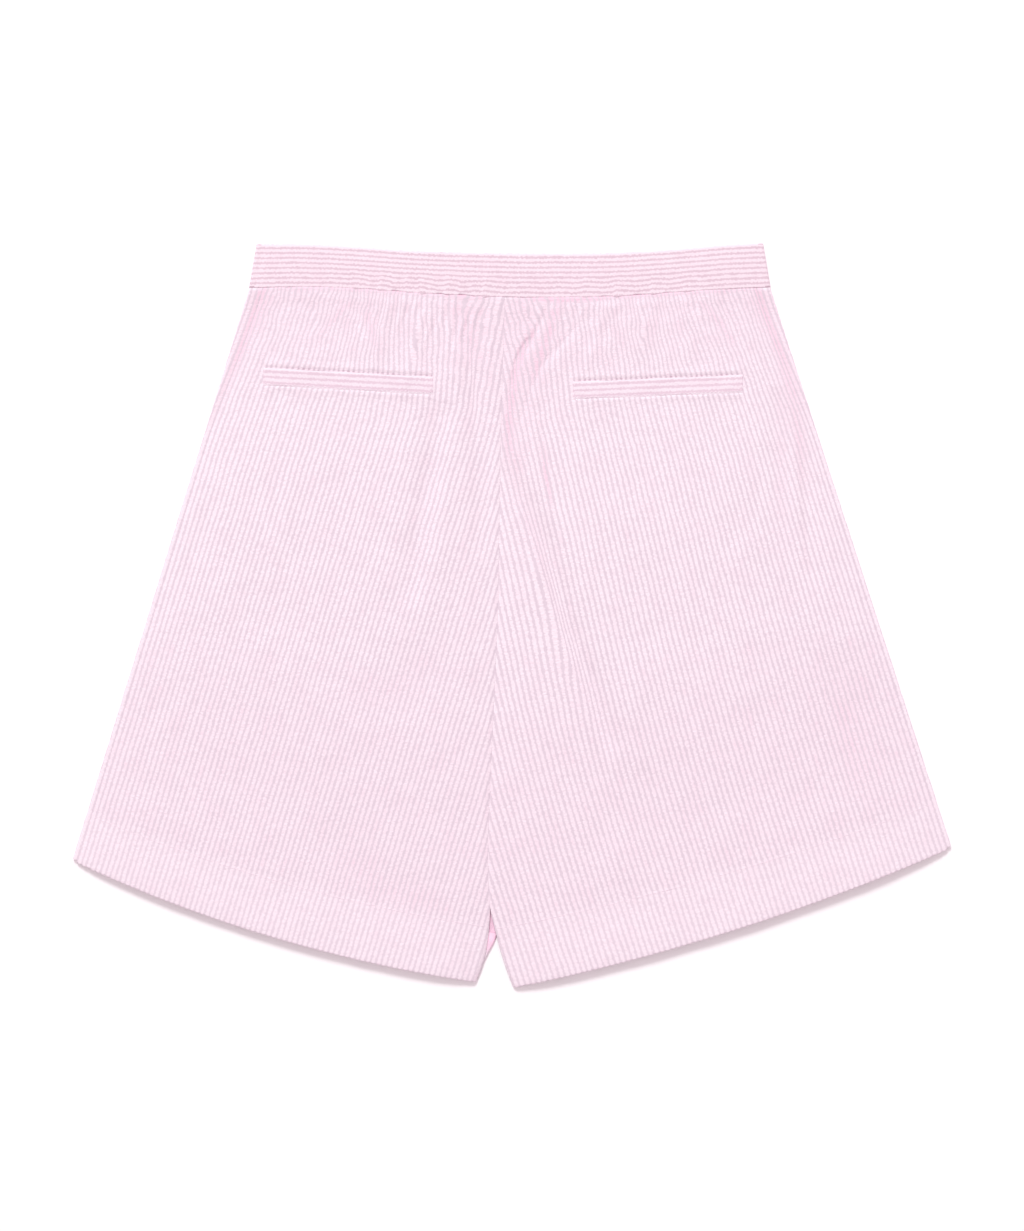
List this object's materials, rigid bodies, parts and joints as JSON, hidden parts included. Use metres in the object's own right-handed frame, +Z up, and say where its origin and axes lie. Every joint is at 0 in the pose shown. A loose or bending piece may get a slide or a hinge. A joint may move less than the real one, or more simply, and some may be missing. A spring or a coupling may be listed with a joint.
{
  "type": "bermuda shorts",
  "caption": "Wide-leg bermuda shorts in striped seersucker, laid flat with the back up, with a gathered elastic back waistband and welt pockets.",
  "frame": {"origin": "on the surface that the shorts lie on, under the middle of their outline", "axes": "+X to the right of the laid shorts, seen from above with the waist at the top; +Y to the waist; +Z up, out of the seat of the shorts"},
  "size_m": [0.6156, 0.5216, 0.0062],
  "materials": {
    "seersucker": "matt puckered cotton with lengthwise pink and white stripes",
    "seersucker_crosswise": "the same cotton, cut so that its stripes run along the strip"
  },
  "bodies": {
    "root": {"front_left": "seersucker", "front_right": "seersucker", "back_left": "seersucker", "back_right": "seersucker", "welt_left": "seersucker_crosswise", "welt_right": "seersucker_crosswise", "waistband_front": "seersucker_crosswise", "waistband_back": "seersucker_crosswise"}
  },
  "joints": []
}
